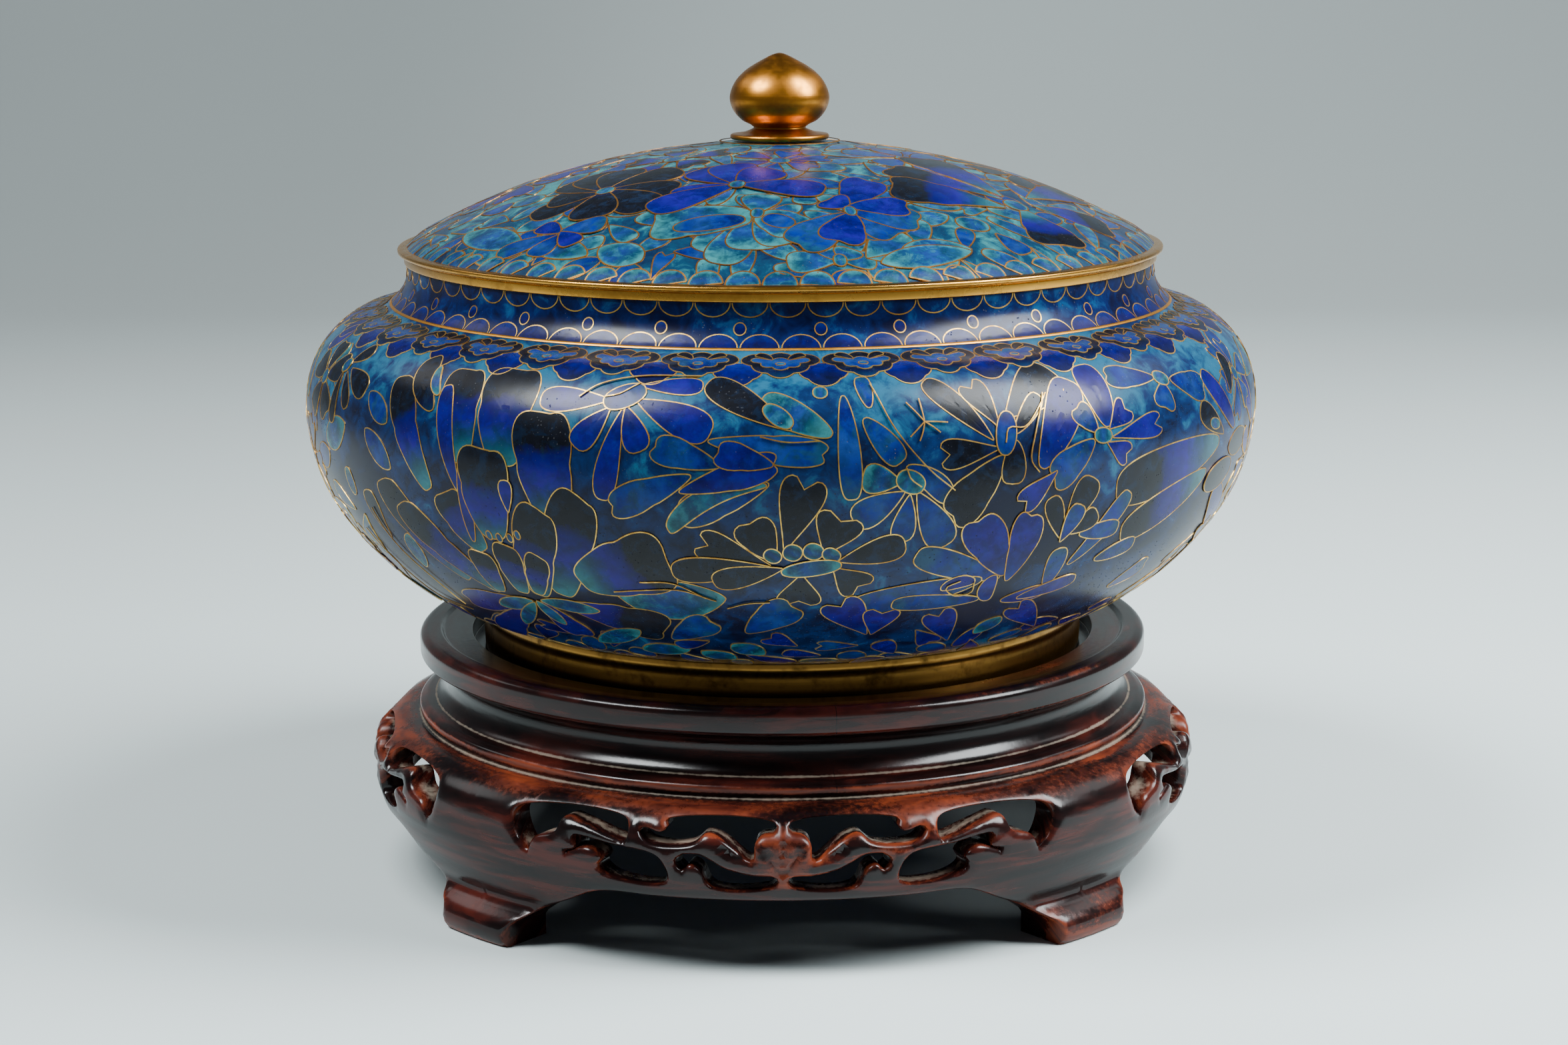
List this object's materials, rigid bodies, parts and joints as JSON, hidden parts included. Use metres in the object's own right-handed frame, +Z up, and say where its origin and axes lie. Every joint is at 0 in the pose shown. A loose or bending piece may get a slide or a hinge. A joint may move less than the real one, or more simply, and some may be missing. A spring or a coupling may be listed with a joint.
{
  "type": "covered cloisonne bowl on a wooden stand",
  "caption": "Round covered enamel bowl with gilt rims and a brass knob, standing on a pierced and turned hardwood stand with low feet.",
  "frame": {"origin": "on the ground plane under the common axis of bowl and stand", "axes": "+Z up along the axis; -Y faces the middle of one pierced panel, so the feet are on the diagonals"},
  "size_m": [0.2, 0.2, 0.1711],
  "materials": {
    "enamel": "polished cloisonne enamel with gilt wires on copper",
    "gilt": "polished gilding",
    "brass": "satin, toned",
    "hardwood": "dark red-brown lacquer, worn at the edges"
  },
  "bodies": {
    "root": {"stand": "hardwood", "foot_ring": "brass", "bowl": "enamel", "mouth_rim": "gilt", "lid_rim": "gilt", "lid": "enamel", "finial": "brass"}
  },
  "joints": []
}
